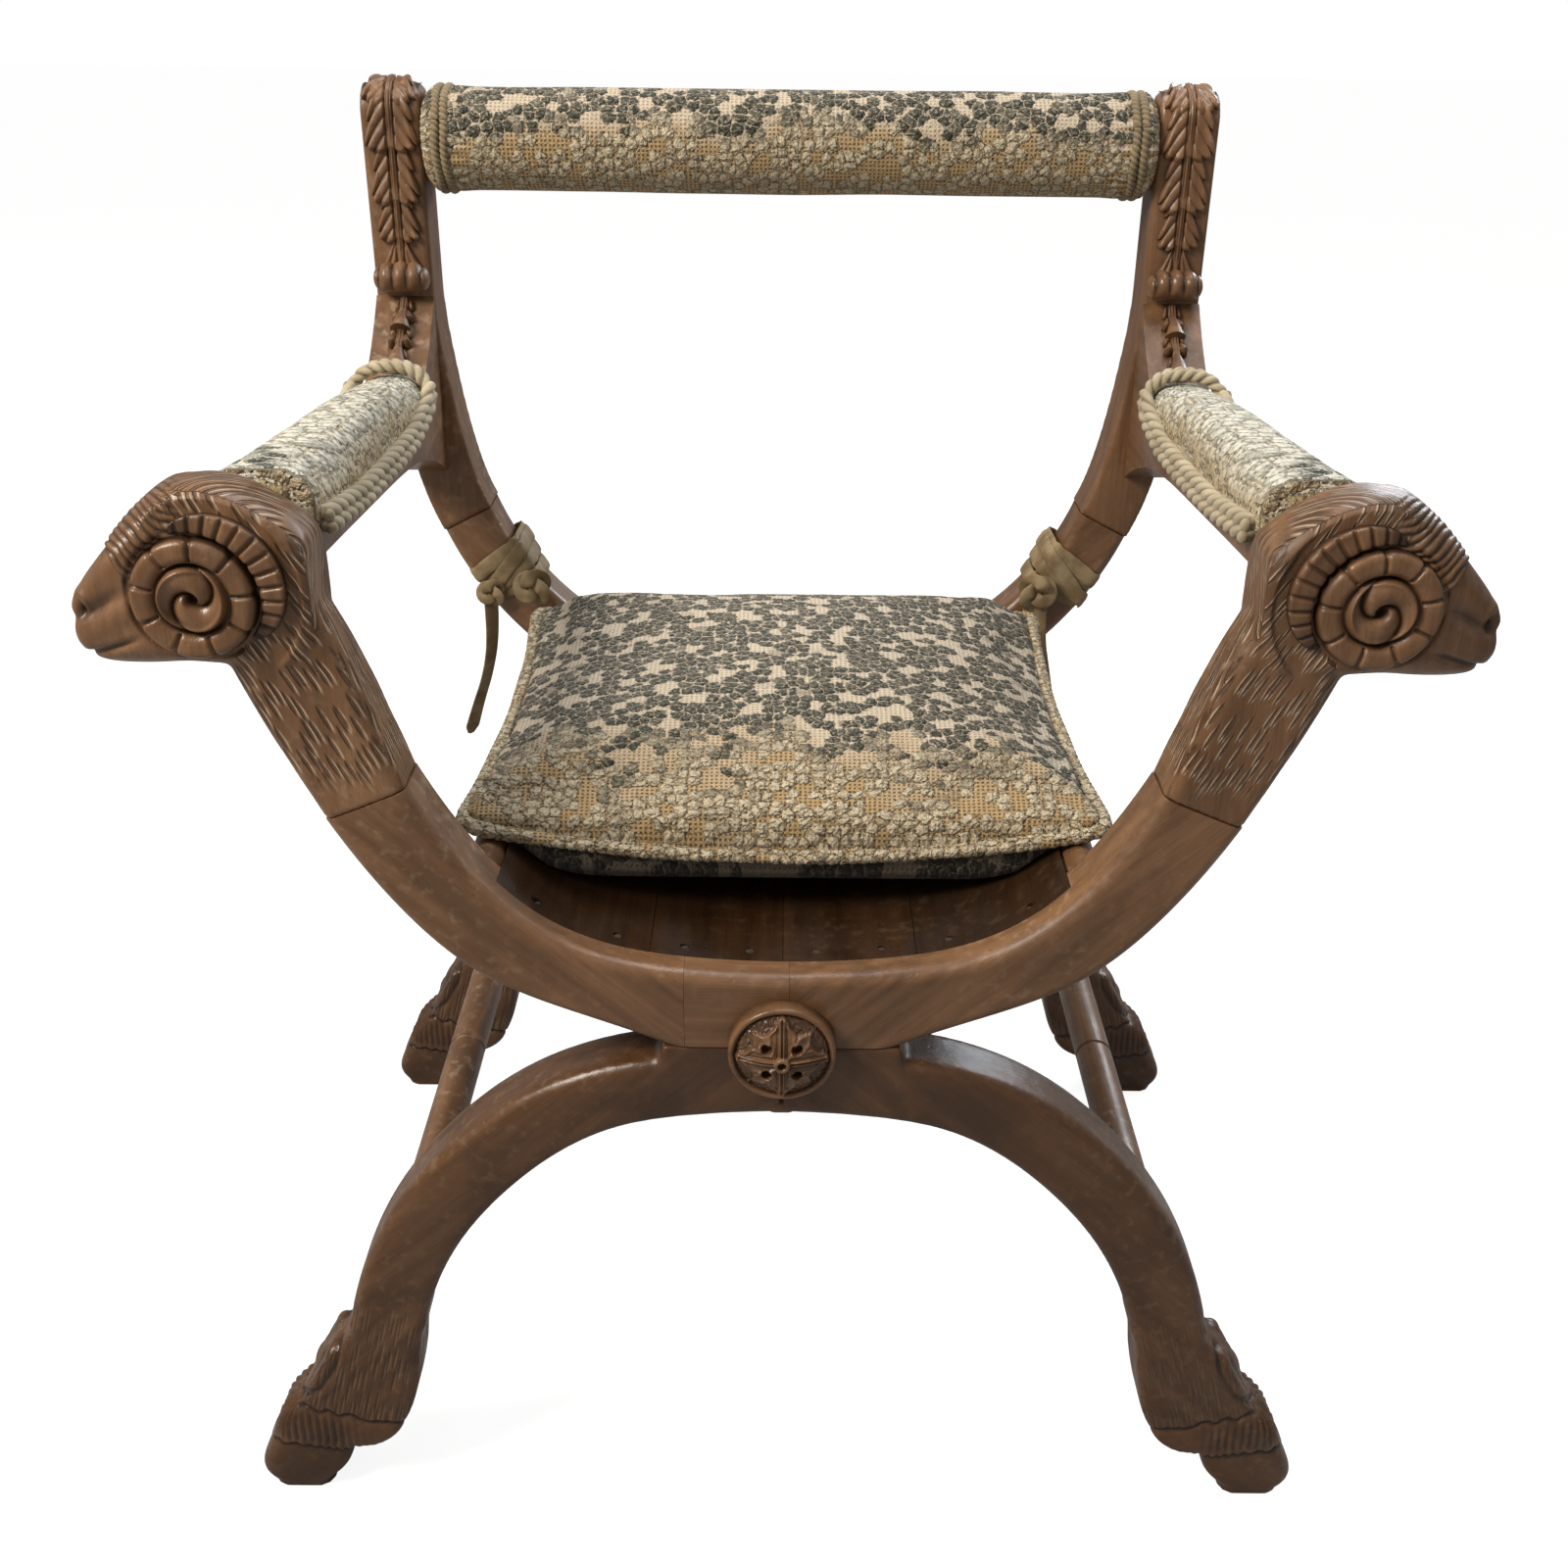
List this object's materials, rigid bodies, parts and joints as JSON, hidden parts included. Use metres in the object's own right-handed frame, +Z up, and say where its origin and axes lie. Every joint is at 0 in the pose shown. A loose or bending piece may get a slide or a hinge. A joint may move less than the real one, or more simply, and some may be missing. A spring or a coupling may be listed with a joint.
{
  "type": "savonarola chair",
  "caption": "Carved wooden X-frame armchair with ram's heads on the arms, cloven hoof feet, padded velvet arms and crest, and a loose seat cushion tied at the back.",
  "frame": {"origin": "on the floor, in the middle of the chair's box", "axes": "+X to the right seen from the front, +Y from the front to the back, +Z up"},
  "size_m": [0.754, 0.5412, 0.872],
  "materials": {
    "wood": "satin, aged walnut",
    "velvet": "cut velvet on a woven ground",
    "braid": "twisted gimp braid",
    "tie": "soft worn leather tape",
    "steel": "dull iron"
  },
  "bodies": {
    "frame": {"front_yoke_left": "wood", "front_yoke_centre": "wood", "front_yoke_right": "wood", "rear_yoke_left": "wood", "rear_yoke_right": "wood", "front_leg_left": "wood", "front_leg_right": "wood", "rear_leg_left": "wood", "rear_leg_right": "wood", "front_dowels": "wood", "rear_dowels": "wood", "ram_post_left": "wood", "ram_post_right": "wood", "stile_left": "wood", "stile_right": "wood", "arm_rail_left": "wood", "arm_rail_right": "wood", "arm_dowels": "wood", "crest_rail": "wood", "stretcher_left": "wood", "stretcher_right": "wood", "seat_side_rail_left": "wood", "seat_side_rail_right": "wood", "front_rosette": "wood", "seat_board_1": "wood", "seat_board_2": "wood", "seat_board_3": "wood", "seat_board_4": "wood", "arm_pad_left": "velvet", "arm_pad_right": "velvet", "crest_pad": "velvet", "arm_gimp_left": "braid", "arm_gimp_right": "braid", "crest_gimps": "braid", "tie_left": "tie", "tie_right": "tie", "tie_tail_left": "tie", "tie_tail_right_1": "tie", "tie_tail_right_2": "tie", "seat_nails": "steel"},
    "cushion": {"seat_cushion": "velvet", "cushion_piping": "braid"}
  },
  "joints": [
    {"name": "cushion_lift", "type": "hinge", "parent": "frame", "child": "cushion", "pos_m": [0, 0.181, 0.49], "axis": [-1, 0, 0], "range_deg": [0, 70]}
  ]
}
